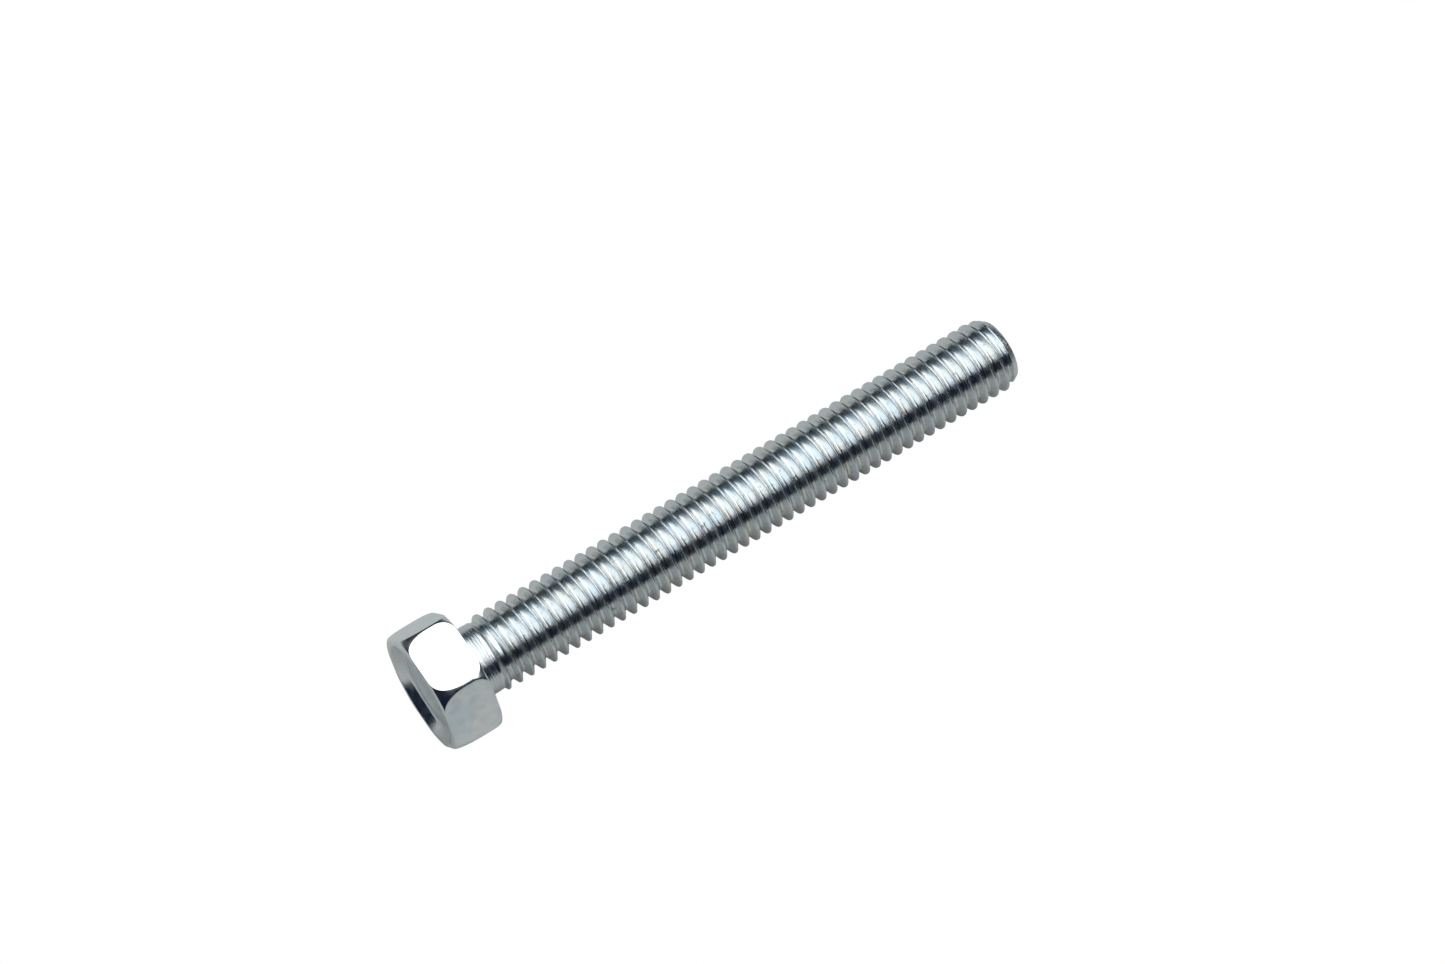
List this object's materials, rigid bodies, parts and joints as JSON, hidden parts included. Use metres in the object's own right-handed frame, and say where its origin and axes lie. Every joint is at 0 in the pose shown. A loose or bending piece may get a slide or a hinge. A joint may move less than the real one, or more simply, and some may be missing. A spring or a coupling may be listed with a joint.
{
  "type": "hex bolt",
  "caption": "Fully threaded hexagon head bolt with a shallow dish in the head, a short plain neck and a chamfered point, in bright zinc-plated steel.",
  "frame": {"origin": "centre of the bearing face under the head, on the bolt's axis", "axes": "+X along the axis from the head to the point, +Z square to the upper flat of the hexagon, so one flat faces straight down"},
  "size_m": [0.0826, 0.0162, 0.0142],
  "materials": {
    "zinc_plated_steel": "bright blue-white zinc plating on cold-forged and thread-rolled steel"
  },
  "bodies": {
    "root": {"hex_head": "zinc_plated_steel", "neck": "zinc_plated_steel", "thread": "zinc_plated_steel", "point": "zinc_plated_steel"}
  },
  "joints": []
}
